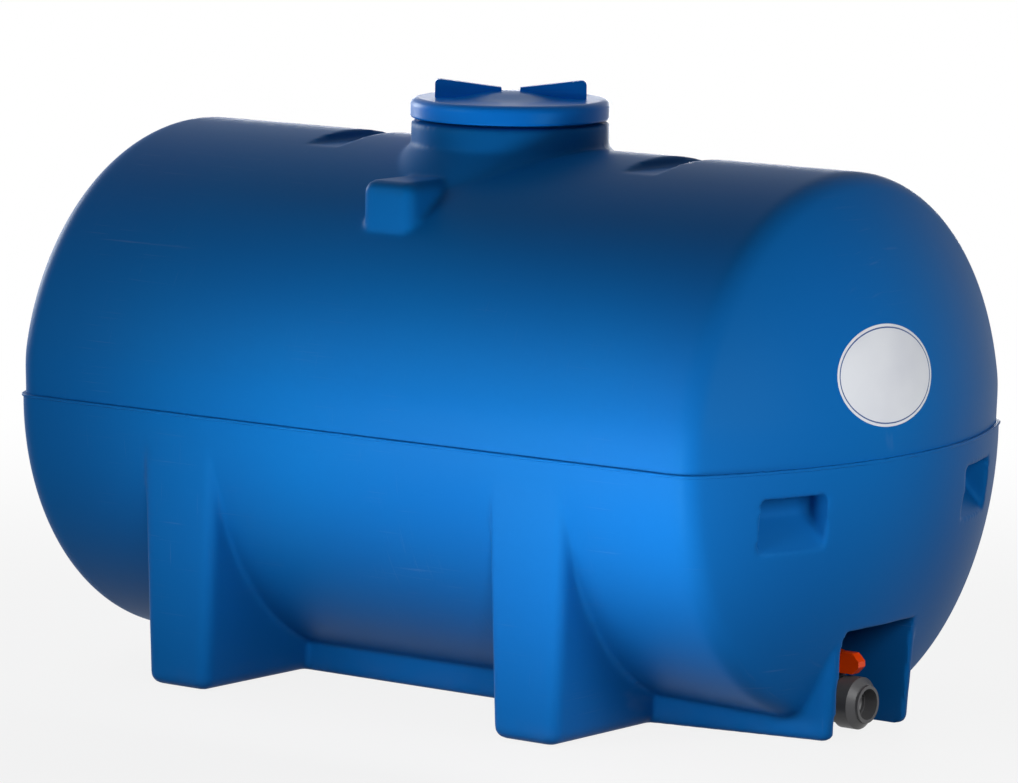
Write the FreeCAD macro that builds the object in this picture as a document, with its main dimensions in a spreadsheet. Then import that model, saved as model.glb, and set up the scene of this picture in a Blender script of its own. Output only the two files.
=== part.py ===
"""Horizontal water storage tank, moulded as one polyethylene skin, with a screw lid and an outlet valve.

Millimetres. +Z is up, +X points to the outlet end, +Y is the left side seen when facing +X. The origin lies
on the ground under the middle of the barrel. The skin is hollow at its real thickness and parted along plain
planes into the panels that carry the neck, the strap channels, the grips, the feet and the outlet bay.
"""

import FreeCAD
import Part
import math
import os

import Sketcher

SIZES = (
    ("wall", 7, "thickness of the moulded skin"),
    ("barrel_radius", 500, "outside radius of the barrel"),
    ("barrel_straight", 1500, "length of the cylindrical part of the barrel"),
    ("barrel_clearance", 17, "gap under the barrel's lowest line"),
    ("dish_radius", 965, "crown radius of the dished ends"),
    ("knuckle_radius", 55, "radius between barrel and dished end"),
    ("ridge_height", 6, "height of the mould parting ridge"),
    ("ridge_proud", 3, "how far the parting ridge stands out"),
    ("foot_length", 187, "length of a foot along the barrel at its top"),
    ("foot_front", 427, "distance of the front feet from the middle of the tank"),
    ("foot_rear", 391, "distance of the rear feet from the middle of the tank"),
    ("foot_inset", 2, "how far a foot's outer face lies inside the barrel's width"),
    ("foot_draft", 22, "how much each end of a foot leans in down to the ground"),
    ("foot_rounding", 21, "radius of a foot's two ground corners"),
    ("foot_edge", 20, "radius of the edge round a foot's outer face"),
    ("keel_width", 394, "width of the sump under the barrel"),
    ("keel_rounding", 14, "radius of the sump's ground edges"),
    ("keel_nose_width", 264, "width of the sump's front end"),
    ("keel_nose_reach", 855, "distance from the tank's middle to the sump's nose at the bay's roof"),
    ("keel_nose_lean", 5, "angle by which the nose leans back towards the ground, in degrees"),
    ("keel_nose_corner", 18, "radius of the nose's two upright corners"),
    ("bay_width", 219, "clear width of the outlet bay"),
    ("bay_height", 202, "clear height of the outlet bay"),
    ("bay_depth", 227, "distance from the nose to the bay's back wall"),
    ("bay_corner", 12, "radius of the bay's two upper corners"),
    ("channel_front", 400, "distance of the front strap channel from the middle of the tank"),
    ("channel_rear", 345, "distance of the rear strap channel from the middle of the tank"),
    ("channel_width", 77, "width of a strap channel"),
    ("channel_depth", 19, "depth of a strap channel on the crown"),
    ("channel_corner", 8, "radius between a strap channel's floor and its sides"),
    ("grip_turn", 17.7, "angle by which the grips face away from the centre line, in degrees"),
    ("grip_width", 148, "width of a grip pocket"),
    ("grip_drop", 49, "distance from the parting ridge down to a grip pocket's roof"),
    ("grip_height", 98, "height of a grip pocket's mouth"),
    ("grip_back_height", 40, "height of a grip pocket's back wall"),
    ("grip_depth", 62, "depth of a grip pocket"),
    ("grip_corner", 12, "radius of a grip pocket's two upper corners"),
    ("boss_offset", -18.5, "distance of the fitting bosses from the middle of the tank"),
    ("boss_width", 119, "width of a fitting boss"),
    ("boss_inset", 150, "how far a boss's outer face lies inside the barrel's width"),
    ("boss_foot", 250, "height of a boss's foot over the barrel's axis"),
    ("boss_drop", 48, "distance from the crown down to a boss's flat top"),
    ("boss_corner", 28, "radius of a boss's two upper corners"),
    ("boss_edge", 18, "radius of the edge round a boss's outer face"),
    ("neck_radius", 186, "outside radius of the filler neck"),
    ("neck_height", 44, "height of the neck's shoulder over the crown"),
    ("neck_rounding", 9, "radius of the neck's shoulder edge"),
    ("saddle_drop", 2, "distance from the crown down to the top of the fairing round the neck"),
    ("saddle_height", 98, "height of that fairing, which widens by as much downwards"),
    ("spigot_radius", 164, "outside radius of the threaded spigot"),
    ("spigot_height", 30, "height of the spigot over the neck's shoulder"),
    ("spigot_wall", 10, "thickness of the spigot"),
    ("seal_thickness", 4, "thickness of the lid's flat seal"),
    ("seal_width", 16, "width of the lid's flat seal"),
    ("lid_radius", 188, "outside radius of the screw lid"),
    ("lid_skirt", 13, "thickness of the lid's skirt"),
    ("lid_gap", 5, "gap between the lid's lower edge and the neck's shoulder"),
    ("lid_plate", 8, "thickness of the lid's plate"),
    ("lid_rounding", 14, "radius of the lid's upper rim"),
    ("lid_edge", 4, "radius of the lid's lower edge"),
    ("lid_crown", 13.5, "height of the lid's raised middle over its rim"),
    ("lid_crown_radius", 33, "radius of the top of the lid's raised middle"),
    ("lid_crown_slope", 66, "width of the slope round the raised middle"),
    ("lid_crown_bend", 240, "radius by which the slope bends into the top and the rim"),
    ("lid_turned", 38, "angle from +X to the lid's wings at rest, in degrees"),
    ("wing_outer", 142, "distance of a wing's outer end from the lid's axis"),
    ("wing_inner", 17.5, "distance of a wing's inner end from the lid's axis"),
    ("wing_high", 35.5, "height of a wing's outer end over the rim"),
    ("wing_low", 20, "height of a wing's inner end over the rim"),
    ("wing_thickness", 16, "thickness of a wing"),
    ("wing_rounding", 9, "radius of a wing's upper outer corner"),
    ("outlet_height", 52, "height of the outlet's axis"),
    ("outlet_bore", 25, "radius of the waterway"),
    ("flange_radius", 45, "radius of the tank fitting's flange"),
    ("flange_thickness", 10, "thickness of the tank fitting's flange"),
    ("flange_seal", 3, "thickness of the flange's rubber ring"),
    ("stub_radius", 33, "radius of the tank fitting's stub through the wall"),
    ("backnut_radius", 42, "radius of the back nut"),
    ("backnut_thickness", 16, "thickness of the back nut"),
    ("valve_setback", 98, "distance of the valve's stem behind the sump's nose"),
    ("valve_half_length", 80, "distance of the valve's ends from its stem"),
    ("body_half_length", 49, "distance of the valve body's ends from its stem"),
    ("body_radius", 41, "outside radius of the valve body"),
    ("thread_radius", 41, "radius of the valve body's union ends"),
    ("nut_radius", 48, "outside radius of the union nuts"),
    ("nut_length", 44, "length of a union nut"),
    ("nut_lip", 9, "thickness of a union nut's lip"),
    ("nut_chamfer", 12, "chamfer of a union nut's outer edge"),
    ("collar_length", 17, "length of the collar that a union nut holds"),
    ("socket_outer", 34.5, "outside radius of a union end"),
    ("socket_radius", 28.5, "radius of a union end's socket"),
    ("socket_depth", 26, "depth of a union end's socket"),
    ("seat_gap", 1.5, "distance of a ball seat from the ball's edge line"),
    ("ball_radius", 35, "radius of the valve's ball"),
    ("running_gap", 0.3, "gap between turning and fixed faces"),
    ("stem_radius", 9, "radius of the valve's stem"),
    ("stem_sink", 3.75, "how deep the stem's foot sits in the ball"),
    ("bonnet_radius", 17, "radius of the collar round the stem"),
    ("bonnet_height", 6, "height of that collar over the valve body"),
    ("handle_reach", 64, "distance of the handle's ends from the stem"),
    ("handle_width", 22, "width of the handle's grip"),
    ("handle_height", 38, "height of the handle"),
    ("handle_lift", 53, "height of the handle's underside over the outlet's axis"),
    ("handle_chamfer", 14, "chamfer of the handle's ends"),
    ("hub_radius", 21, "radius of the handle's hub"),
)

doc = FreeCAD.newDocument("water_tank")
sheet = doc.addObject("Spreadsheet::Sheet", "Sizes")
for row, (alias, amount, meaning) in enumerate(SIZES, start=1):
    sheet.set(f"A{row}", meaning)
    sheet.set(f"B{row}", str(amount))
    sheet.setAlias(f"B{row}", alias)
doc.recompute()


class Size:
    """A length or angle that carries its amount and the sheet formula that it follows."""

    def __init__(self, amount, formula):
        self.amount = amount
        self.formula = formula

    def __add__(self, other):
        return Size(self.amount + amount_of(other), f"({self.formula} + {formula_of(other)})")

    def __radd__(self, other):
        return self + other

    def __sub__(self, other):
        return Size(self.amount - amount_of(other), f"({self.formula} - {formula_of(other)})")

    def __rsub__(self, other):
        return Size(amount_of(other) - self.amount, f"({formula_of(other)} - {self.formula})")

    def __mul__(self, other):
        return Size(self.amount * amount_of(other), f"({self.formula} * {formula_of(other)})")

    def __rmul__(self, other):
        return self * other

    def __truediv__(self, other):
        return Size(self.amount / amount_of(other), f"({self.formula} / {formula_of(other)})")

    def __neg__(self):
        return Size(-self.amount, f"(0 - {self.formula})")


def amount_of(item):
    return item.amount if isinstance(item, Size) else item


def formula_of(item):
    return item.formula if isinstance(item, Size) else f"({item})"


def root(size):
    return Size(math.sqrt(size.amount), f"sqrt({size.formula})")


def tangent(angle):
    return Size(math.tan(math.radians(angle.amount)), f"tan({angle.formula})")


class Sheet:
    """The driving sizes by name."""


for alias, amount, _ in SIZES:
    setattr(Sheet, alias, Size(float(amount), f"Sizes.{alias}"))

S = Sheet
AXIS = S.barrel_clearance + S.barrel_radius
CROWN = AXIS + S.barrel_radius
HALF_STRAIGHT = S.barrel_straight / 2
DISH_RUN = S.dish_radius - S.knuckle_radius
DISH_RISE = S.barrel_radius - S.knuckle_radius
DISH_CENTRE = HALF_STRAIGHT - root(DISH_RUN * DISH_RUN - DISH_RISE * DISH_RISE)
FOOT_FACE = S.barrel_radius - S.foot_inset
FOOT_ROOT = S.keel_width / 2 - 6 * S.wall
KEEL_REAR = S.foot_rear + S.foot_length / 2 - S.foot_draft
KEEL_FRONT = S.foot_front + S.foot_length / 2 - S.foot_draft
KEEL_TOP = S.bay_height / 2
NOSE_TOP = S.bay_height + S.keel_rounding * 3
BOSS_FACE = S.barrel_radius - S.boss_inset
BOSS_FOOT = AXIS + S.boss_foot
BAY_BACK = S.keel_nose_reach - S.bay_depth
VALVE_PLACE = S.keel_nose_reach - S.valve_setback
SHOULDER = CROWN + S.neck_height
SPIGOT_TOP = SHOULDER + S.spigot_height
LID_UNDERSIDE = SPIGOT_TOP + S.seal_thickness
LID_RIM = LID_UNDERSIDE + S.lid_plate
STEM_FOOT = S.ball_radius - S.stem_sink
BONNET_FOOT = S.ball_radius + S.seat_gap
BEYOND = S.barrel_radius / 10

FRONT, REAR = 1, -1
LEFT, RIGHT = 1, -1
END_NAMES = {FRONT: "front", REAR: "rear"}
SIDE_NAMES = {LEFT: "left", RIGHT: "right"}
FOOT_PLACES = {FRONT: S.foot_front, REAR: S.foot_rear}
CHANNEL_PLACES = {FRONT: S.channel_front, REAR: S.channel_rear}

nodes = {}


def bind(obj, path, size):
    """Ties one property of an object to the sheet."""
    if isinstance(size, Size):
        obj.setExpression(path, size.formula)
    else:
        obj.setExpression(path, str(size))


def place(obj, x=0, y=0, z=0, axis=(0, 0, 1), angle=0):
    """Puts an object at a place tied to the sheet, turned about an axis."""
    turn = FreeCAD.Rotation(FreeCAD.Vector(*axis), amount_of(angle))
    spot = FreeCAD.Vector(amount_of(x), amount_of(y), amount_of(z))
    obj.Placement = FreeCAD.Placement(spot, turn)
    for name, size in (("x", x), ("y", y), ("z", z)):
        bind(obj, f"Placement.Base.{name}", size)
    if isinstance(angle, Size):
        bind(obj, "Placement.Rotation.Angle", angle)
    return obj


def box(name, x, y, z):
    """A block between pairs of lower and upper limits."""
    obj = doc.addObject("Part::Box", name)
    for path, (low, high) in (("Length", x), ("Width", y), ("Height", z)):
        bind(obj, path, high - low)
    return place(obj, x[0], y[0], z[0])


def cylinder(name, radius, z, x=0, y=0):
    """An upright round block between two heights."""
    obj = doc.addObject("Part::Cylinder", name)
    bind(obj, "Radius", radius)
    bind(obj, "Height", z[1] - z[0])
    return place(obj, x, y, z[0])


def fuse(name, shapes):
    obj = doc.addObject("Part::MultiFuse", name)
    obj.Shapes = shapes
    return obj


def cut(name, base, tool):
    obj = doc.addObject("Part::Cut", name)
    obj.Base = base
    obj.Tool = tool
    return obj


def common(name, shapes):
    obj = doc.addObject("Part::MultiCommon", name)
    obj.Shapes = shapes
    return obj


def node(name, obj):
    """Files an object as the piece of that name."""
    obj.Label = name
    nodes[name] = obj
    return obj


def new_body(name):
    return doc.addObject("PartDesign::Body", name)


def origin_plane(body, role):
    return [item for item in body.Origin.OriginFeatures if item.Role == role][0]


def new_sketch(body, name, role):
    sketch = body.newObject("Sketcher::SketchObject", name)
    sketch.AttachmentSupport = [(origin_plane(body, role), "")]
    sketch.MapMode = "FlatFace"
    return sketch


def tie(sketch, kind, target, size):
    """A sketch dimension tied to the sheet."""
    index = sketch.addConstraint(Sketcher.Constraint(kind, *target, amount_of(size)))
    if isinstance(size, Size):
        sketch.setExpression(f"Constraints[{index}]", size.formula)


def tie_point(sketch, geometry, vertex, corner):
    """Ties one point of a sketch to a pair of sizes."""
    for kind, size in zip(("DistanceX", "DistanceY"), corner):
        tie(sketch, kind, (-1, 1, geometry, vertex), size)


def corner_arc(before, corner, after, radius):
    """The tangent points, centre and arc of a rounded corner between two straight edges."""
    back = (before - corner).normalize()
    ahead = (after - corner).normalize()
    half = back.getAngle(ahead) / 2
    reach = radius / math.tan(half)
    centre = corner + (back + ahead).normalize() * (radius / math.sin(half))
    start = corner + back * reach
    end = corner + ahead * reach
    middle = centre + (corner - centre).normalize() * radius
    return start, end, Part.Arc(start, middle, end)


def outline(body, name, role, corners):
    """A closed outline. A corner is a pair of sizes, with its radius as a third where it is round."""
    sketch = new_sketch(body, name, role)
    points = [FreeCAD.Vector(amount_of(item[0]), amount_of(item[1]), 0) for item in corners]
    count = len(points)
    starts = list(points)
    ends = list(points)
    arcs = {}
    for index, item in enumerate(corners):
        if len(item) == 3:
            before = points[index - 1]
            after = points[(index + 1) % count]
            rounded = corner_arc(before, points[index], after, amount_of(item[2]))
            ends[index], starts[index], arcs[index] = rounded
    edges = []
    for index in range(count):
        edges.append(sketch.addGeometry(Part.LineSegment(starts[index], ends[(index + 1) % count])))
    for index, item in enumerate(corners):
        before, after = edges[index - 1], edges[index]
        if index not in arcs:
            sketch.addConstraint(Sketcher.Constraint("Coincident", before, 2, after, 1))
            tie_point(sketch, after, 1, item)
            continue
        round_edge(sketch, arcs[index], points[index], before, after, item)
    return sketch


def round_edge(sketch, arc, point, before, after, item):
    """Joins two straight edges by an arc whose sharp corner stays tied to the sheet."""
    curve = sketch.addGeometry(arc)
    first = 1 if (sketch.getPoint(curve, 1) - sketch.getPoint(before, 2)).Length < 1e-6 else 2
    sketch.addConstraint(Sketcher.Constraint("Tangent", before, 2, curve, first))
    sketch.addConstraint(Sketcher.Constraint("Tangent", curve, 3 - first, after, 1))
    mark = sketch.addGeometry(Part.Point(point), True)
    sketch.addConstraint(Sketcher.Constraint("PointOnObject", mark, 1, before))
    sketch.addConstraint(Sketcher.Constraint("PointOnObject", mark, 1, after))
    tie_point(sketch, mark, 1, item)
    tie(sketch, "Radius", (curve,), item[2])


def pad(body, sketch, length, symmetric=False):
    feature = body.newObject("PartDesign::Pad", f"{sketch.Name}_pad")
    feature.Profile = sketch
    bind(feature, "Length", length)
    if symmetric:
        feature.SideType = "Symmetric"
    return feature


def turned(body, sketch, axis):
    """A solid of revolution of the sketch about one of its axes."""
    feature = body.newObject("PartDesign::Revolution", f"{sketch.Name}_turned")
    feature.Profile = sketch
    feature.ReferenceAxis = (sketch, [axis])
    feature.Angle = 360
    return feature


def prism(name, role, corners, length):
    """A straight block with the given outline, the same to both sides of its plane."""
    body = new_body(name)
    pad(body, outline(body, f"{name}_outline", role, corners), length, symmetric=True)
    return body


def middle_of(edge):
    return edge.valueAt((edge.FirstParameter + edge.LastParameter) / 2)


def near(value, size):
    return abs(value - amount_of(size)) < 1e-3


def fillet(body, radius, chosen):
    """Rounds the edges of a body's last feature whose middle points pass the test."""
    doc.recompute()
    base = body.Tip
    every = enumerate(base.Shape.Edges, start=1)
    edges = [f"Edge{index}" for index, edge in every if chosen(middle_of(edge))]
    feature = body.newObject("PartDesign::Fillet", f"{base.Name}_rounded")
    feature.Base = (base, edges)
    bind(feature, "Radius", radius)
    return feature


def moulded_block(name, corners, length, side, radius):
    """A block that runs across the barrel, with the edge round its outer face rounded below and above."""
    block = prism(name, "XZ_Plane", corners, length)
    outer = side * length / 2
    buried = amount_of(corners[0][1])
    fillet(block, radius, lambda point: near(point.y, outer) and not near(point.z, buried))
    return block


# The moulded tank

def barrel(name, inset):
    """The barrel with its two dished ends, as one turned form drawn in by the inset."""
    body = new_body(name)
    sketch = new_sketch(body, f"{name}_profile", "XZ_Plane")
    dish = S.dish_radius - inset
    knuckle = S.knuckle_radius - inset
    lean = math.atan2(DISH_RISE.amount, HALF_STRAIGHT.amount - DISH_CENTRE.amount)
    up = FreeCAD.Vector(0, 0, 1)
    curves = {}
    for end in (FRONT, REAR):
        middle = FreeCAD.Vector(end * DISH_CENTRE.amount, 0, 0)
        corner = FreeCAD.Vector(end * HALF_STRAIGHT.amount, DISH_RISE.amount, 0)
        low, high = (0, lean) if end == FRONT else (math.pi - lean, math.pi)
        dish_arc = Part.ArcOfCircle(Part.Circle(middle, up, dish.amount), low, high)
        low, high = (lean, math.pi / 2) if end == FRONT else (math.pi / 2, math.pi - lean)
        knuckle_arc = Part.ArcOfCircle(Part.Circle(corner, up, knuckle.amount), low, high)
        curves[end] = (sketch.addGeometry(dish_arc), sketch.addGeometry(knuckle_arc))
    radius = amount_of(S.barrel_radius - inset)
    apex = amount_of(DISH_CENTRE + dish)
    side = sketch.addGeometry(Part.LineSegment(
        FreeCAD.Vector(HALF_STRAIGHT.amount, radius, 0), FreeCAD.Vector(-HALF_STRAIGHT.amount, radius, 0)))
    core = sketch.addGeometry(Part.LineSegment(FreeCAD.Vector(-apex, 0, 0), FreeCAD.Vector(apex, 0, 0)))
    for end in (FRONT, REAR):
        dish_curve, knuckle_curve = curves[end]
        outer, inner = (1, 2) if end == FRONT else (2, 1)
        sketch.addConstraint(Sketcher.Constraint("Tangent", dish_curve, inner, knuckle_curve, outer))
        sketch.addConstraint(Sketcher.Constraint("Tangent", knuckle_curve, inner, side, outer))
        sketch.addConstraint(Sketcher.Constraint("Coincident", dish_curve, outer, core, inner))
        tie(sketch, "Radius", (dish_curve,), dish)
        tie(sketch, "Radius", (knuckle_curve,), knuckle)
        tie(sketch, "DistanceX", (-1, 1, dish_curve, 3), end * DISH_CENTRE)
        sketch.addConstraint(Sketcher.Constraint("PointOnObject", dish_curve, 3, -1))
        sketch.addConstraint(Sketcher.Constraint("PointOnObject", dish_curve, outer, -1))
        tie(sketch, "DistanceX", (-1, 1, knuckle_curve, 3), end * HALF_STRAIGHT)
    turned(body, sketch, "H_Axis")
    return place(body, z=AXIS)


def foot(name, inset, end, side):
    """A foot block that runs from the sump out to the barrel's full width and widens upwards."""
    half_top = S.foot_length / 2 - inset
    half_ground = half_top - S.foot_draft
    rounding = S.foot_rounding - inset
    corners = ((half_top, AXIS), (-half_top, AXIS),
               (-half_ground, inset, rounding), (half_ground, inset, rounding))
    face = FOOT_FACE - inset
    block = moulded_block(name, corners, face - FOOT_ROOT, side, S.foot_edge - inset)
    return place(block, x=end * FOOT_PLACES[end], y=side * (face + FOOT_ROOT) / 2)


def sump_section(name, inset, length, top):
    """The sump's cross section with its rounded ground edges, as a long block."""
    half = S.keel_width / 2 - inset
    rounding = S.keel_rounding - inset
    return prism(name, "YZ_Plane", (
        (-half, inset, rounding), (half, inset, rounding), (half, top), (-half, top)), length)


def keel(name, inset):
    """The sump between the feet."""
    rear = -(KEEL_REAR - inset)
    corners = ((rear, inset, S.foot_rounding - inset), (KEEL_FRONT, inset), (KEEL_FRONT, KEEL_TOP),
               (rear, KEEL_TOP))
    side_view = prism(f"{name}_side", "XZ_Plane", corners, S.keel_width)
    return common(name, [side_view, sump_section(f"{name}_section", inset, 3 * KEEL_FRONT, KEEL_TOP)])


def nose(name, inset):
    """The sump's front, which narrows in plan and leans back towards the ground."""
    lean = tangent(S.keel_nose_lean)
    reach = S.keel_nose_reach - inset
    ground = reach - (S.bay_height - inset) * lean
    roof = reach + (NOSE_TOP - S.bay_height) * lean
    start = KEEL_FRONT - 2 * S.wall
    corner = S.keel_nose_corner - inset
    side_view = prism(f"{name}_side", "XZ_Plane", (
        (start, inset), (ground, inset, corner), (roof, NOSE_TOP), (start, NOSE_TOP)), S.keel_width)
    wide = S.keel_width / 2 - inset
    narrow = S.keel_nose_width / 2 - inset
    plan = prism(f"{name}_plan", "XY_Plane", (
        (start, -wide), (roof, -narrow, corner), (roof, narrow, corner), (start, wide)), 3 * NOSE_TOP)
    section = sump_section(f"{name}_section", inset, 3 * S.keel_nose_reach, NOSE_TOP)
    return common(name, [side_view, plan, section])


def boss(name, inset, side):
    """A flat-faced seat for an extra fitting on the upper flank."""
    half = S.boss_width / 2 - inset
    low = BOSS_FACE / 2
    high = BOSS_FACE - inset
    top = CROWN - S.boss_drop - inset
    rounding = S.boss_corner - inset
    corners = ((-half, BOSS_FOOT), (half, BOSS_FOOT), (half, top, rounding), (-half, top, rounding))
    block = moulded_block(name, corners, high - low, side, S.boss_edge - inset)
    return place(block, x=S.boss_offset, y=side * (high + low) / 2)


def neck(name, inset):
    """The round neck with its rounded shoulder."""
    body = new_body(name)
    radius = S.neck_radius - inset
    shoulder = SHOULDER - inset
    buried = CROWN - 2 * BEYOND
    corners = ((0, buried), (radius, buried), (radius, shoulder, S.neck_rounding - inset), (0, shoulder))
    turned(body, outline(body, f"{name}_profile", "XZ_Plane", corners), "V_Axis")
    return body


def saddle(name, inset):
    """The fairing round the neck, which widens at 45 degrees down to the barrel's flanks."""
    drawn_in = inset * math.sqrt(0.5)
    top = CROWN - S.saddle_drop - drawn_in
    radius = S.neck_radius - drawn_in
    cone = doc.addObject("Part::Cone", name)
    bind(cone, "Radius1", radius + S.saddle_height)
    bind(cone, "Radius2", radius)
    bind(cone, "Height", S.saddle_height)
    return place(cone, z=top - S.saddle_height)


def bay(name, inset):
    """The space under the front end where the outlet valve sits, open to the front and to the ground."""
    half = S.bay_width / 2 + inset
    roof = S.bay_height + inset
    rounding = S.bay_corner + inset
    back = BAY_BACK - inset
    front = S.keel_nose_reach + 2 * BEYOND
    hollow = prism(name, "YZ_Plane", ((-half, -BEYOND), (half, -BEYOND), (half, roof, rounding),
                                      (-half, roof, rounding)), front - back)
    return place(hollow, x=(front + back) / 2)


def channel(name, inset, end):
    """A strap channel across the crown."""
    half = S.channel_width / 2 + inset
    floor = CROWN - S.channel_depth - inset
    rounding = S.channel_corner + inset
    above = CROWN + BEYOND
    groove = prism(name, "XZ_Plane", (
        (-half, floor, rounding), (half, floor, rounding), (half, above), (-half, above)), 2 * S.neck_radius)
    return place(groove, x=end * CHANNEL_PLACES[end])


def grip_frame(obj, end, side):
    """Turns a shape drawn outwards from the middle of the front dish to one of the four grips."""
    turn = side * S.grip_turn if end == FRONT else 180 - side * S.grip_turn
    return place(obj, x=end * DISH_CENTRE, z=AXIS, angle=turn)


def grip(name, inset, end, side):
    """A grip pocket: a level roof, a short back wall and a floor that slopes out and down."""
    roof = -S.grip_drop + inset
    back = S.dish_radius - S.grip_depth - inset
    knee = -S.grip_drop - S.grip_back_height - inset
    sill = -S.grip_drop - S.grip_height - inset
    lip = S.dish_radius - S.wall * 2
    out = S.dish_radius + BEYOND
    width = S.grip_width + 2 * inset
    corners = ((back, roof), (back, knee), (lip, sill), (out, sill), (out, roof))
    pocket = prism(name, "XZ_Plane", corners, width)
    fillet(pocket, S.grip_corner + inset,
           lambda point: near(point.z, roof) and near(abs(point.y), width / 2))
    return grip_frame(pocket, end, side)


def tank_form(tag, inset, spigot):
    """The whole tank drawn in by the inset, with a closed or open spigot of the given radius and top."""
    solids = [barrel(f"{tag}_barrel", inset), keel(f"{tag}_keel", inset), nose(f"{tag}_nose", inset)]
    hollows = [bay(f"{tag}_bay", inset)]
    for end in (FRONT, REAR):
        hollows.append(channel(f"{tag}_channel_{END_NAMES[end]}", inset, end))
        for side in (LEFT, RIGHT):
            place_name = f"{END_NAMES[end]}_{SIDE_NAMES[side]}"
            solids.append(foot(f"{tag}_foot_{place_name}", inset, end, side))
            hollows.append(grip(f"{tag}_grip_{place_name}", inset, end, side))
    for side in (LEFT, RIGHT):
        solids.append(boss(f"{tag}_boss_{SIDE_NAMES[side]}", inset, side))
    solids.append(neck(f"{tag}_neck", inset))
    solids.append(saddle(f"{tag}_saddle", inset))
    solids.append(cylinder(f"{tag}_spigot", spigot[0], (CROWN - 2 * BEYOND, spigot[1])))
    whole = fuse(f"{tag}_whole", solids)
    return cut(f"{tag}_form", whole, fuse(f"{tag}_hollows", hollows))


def parting_ridge():
    """The low ridge that the mould's parting line leaves all round the tank."""
    half = S.ridge_height / 2
    reach = DISH_CENTRE + S.dish_radius + BEYOND
    slab = box("ridge_slab", (-reach, reach), (-reach, reach), (AXIS - half, AXIS + half))
    return common("ridge", [barrel("ridge_barrel", -S.ridge_proud), slab])


def outlet_hole():
    """The round hole in the bay's back wall for the tank fitting."""
    hole = doc.addObject("Part::Cylinder", "outlet_hole")
    bind(hole, "Radius", S.stub_radius)
    bind(hole, "Height", 4 * S.wall)
    return place(hole, x=BAY_BACK - 3 * S.wall, z=S.outlet_height, axis=(0, 1, 0), angle=90)


def moulded_skin():
    outer_form = tank_form("outer", 0, (S.spigot_radius, SPIGOT_TOP))
    outer = fuse("outer_with_ridge", [outer_form, parting_ridge()])
    inner = tank_form("inner", S.wall, (S.spigot_radius - S.spigot_wall, SPIGOT_TOP + BEYOND))
    shell = cut("shell", outer, inner)
    return cut("skin", shell, outlet_hole())


PANEL_EDGE = S.barrel_radius * math.sqrt(0.5)
NECK_ZONE = S.neck_radius + 3 * S.wall
SPIGOT_ZONE = SHOULDER - S.wall
END_REACH = DISH_CENTRE + S.dish_radius + BEYOND
SIDE_REACH = S.barrel_radius + BEYOND
TOP_REACH = SPIGOT_TOP + BEYOND
FOOT_ZONE_HALF = S.foot_length / 2 + S.wall
FOOT_ZONE_FAR = {end: FOOT_PLACES[end] + FOOT_ZONE_HALF for end in (FRONT, REAR)}
FOOT_ZONE_NEAR = {end: FOOT_PLACES[end] - FOOT_ZONE_HALF for end in (FRONT, REAR)}
KEEL_HALF = S.keel_width / 2
BAY_ZONE_TOP = S.bay_height + 4 * S.wall


def limits(sign, inner, outer):
    """A pair of limits on the given side of the middle."""
    return (inner + 0, outer + 0) if sign > 0 else (-outer, -inner)


def zone_cut(name, skin, zone, taken):
    """The stretch of the skin inside a zone, less the zones that other panels take."""
    panel = common(f"{name}_zone_part", [skin, zone])
    if taken:
        tool = taken[0] if len(taken) == 1 else fuse(f"{name}_taken", taken)
        panel = cut(f"{name}_panel", panel, tool)
    return node(name, panel)


def upper_panels(skin):
    """Crown, neck, strap channels, fitting seats, shoulders and the upper halves of the ends."""
    neck_zone = cylinder("neck_zone", NECK_ZONE, (CROWN - 2 * BEYOND, SPIGOT_ZONE))
    zone_cut("filler_neck", skin, neck_zone, [])
    spigot_zone = cylinder("spigot_zone", NECK_ZONE, (SPIGOT_ZONE, TOP_REACH))
    zone_cut("neck_spigot", skin, spigot_zone, [])
    taken = [neck_zone, spigot_zone]
    for end in (FRONT, REAR):
        half = S.channel_width / 2 + 2 * S.wall
        centre = end * CHANNEL_PLACES[end]
        zone = box(f"channel_zone_{END_NAMES[end]}", (centre - half, centre + half),
                   (-S.neck_radius, S.neck_radius), (CROWN - 2 * BEYOND, TOP_REACH))
        zone_cut(f"strap_channel_{END_NAMES[end]}", skin, zone, [])
        taken.append(zone)
    for side in (LEFT, RIGHT):
        half = S.boss_width / 2 + S.wall
        zone = box(f"boss_zone_{SIDE_NAMES[side]}", (S.boss_offset - half, S.boss_offset + half),
                   limits(side, S.neck_radius - BEYOND, BOSS_FACE + S.wall), (BOSS_FOOT, TOP_REACH))
        zone_cut(f"fitting_seat_{SIDE_NAMES[side]}", skin, zone, [neck_zone, spigot_zone])
        taken.append(zone)
    for end, along in ((FRONT, (S.boss_offset, HALF_STRAIGHT)), (REAR, (-HALF_STRAIGHT, S.boss_offset))):
        zone = box(f"crown_zone_{END_NAMES[end]}", along, (-PANEL_EDGE, PANEL_EDGE), (AXIS, TOP_REACH))
        zone_cut(f"crown_panel_{END_NAMES[end]}", skin, zone, taken)
    for side in (LEFT, RIGHT):
        zone = box(f"shoulder_zone_{SIDE_NAMES[side]}", (-HALF_STRAIGHT, HALF_STRAIGHT),
                   limits(side, PANEL_EDGE, SIDE_REACH), (AXIS, TOP_REACH))
        zone_cut(f"shoulder_panel_{SIDE_NAMES[side]}", skin, zone, taken[-2:])
    for end in (FRONT, REAR):
        zone = box(f"upper_end_zone_{END_NAMES[end]}", limits(end, HALF_STRAIGHT, END_REACH),
                   (-SIDE_REACH, SIDE_REACH), (AXIS, TOP_REACH))
        zone_cut(f"{END_NAMES[end]}_end_upper", skin, zone, [])


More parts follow.
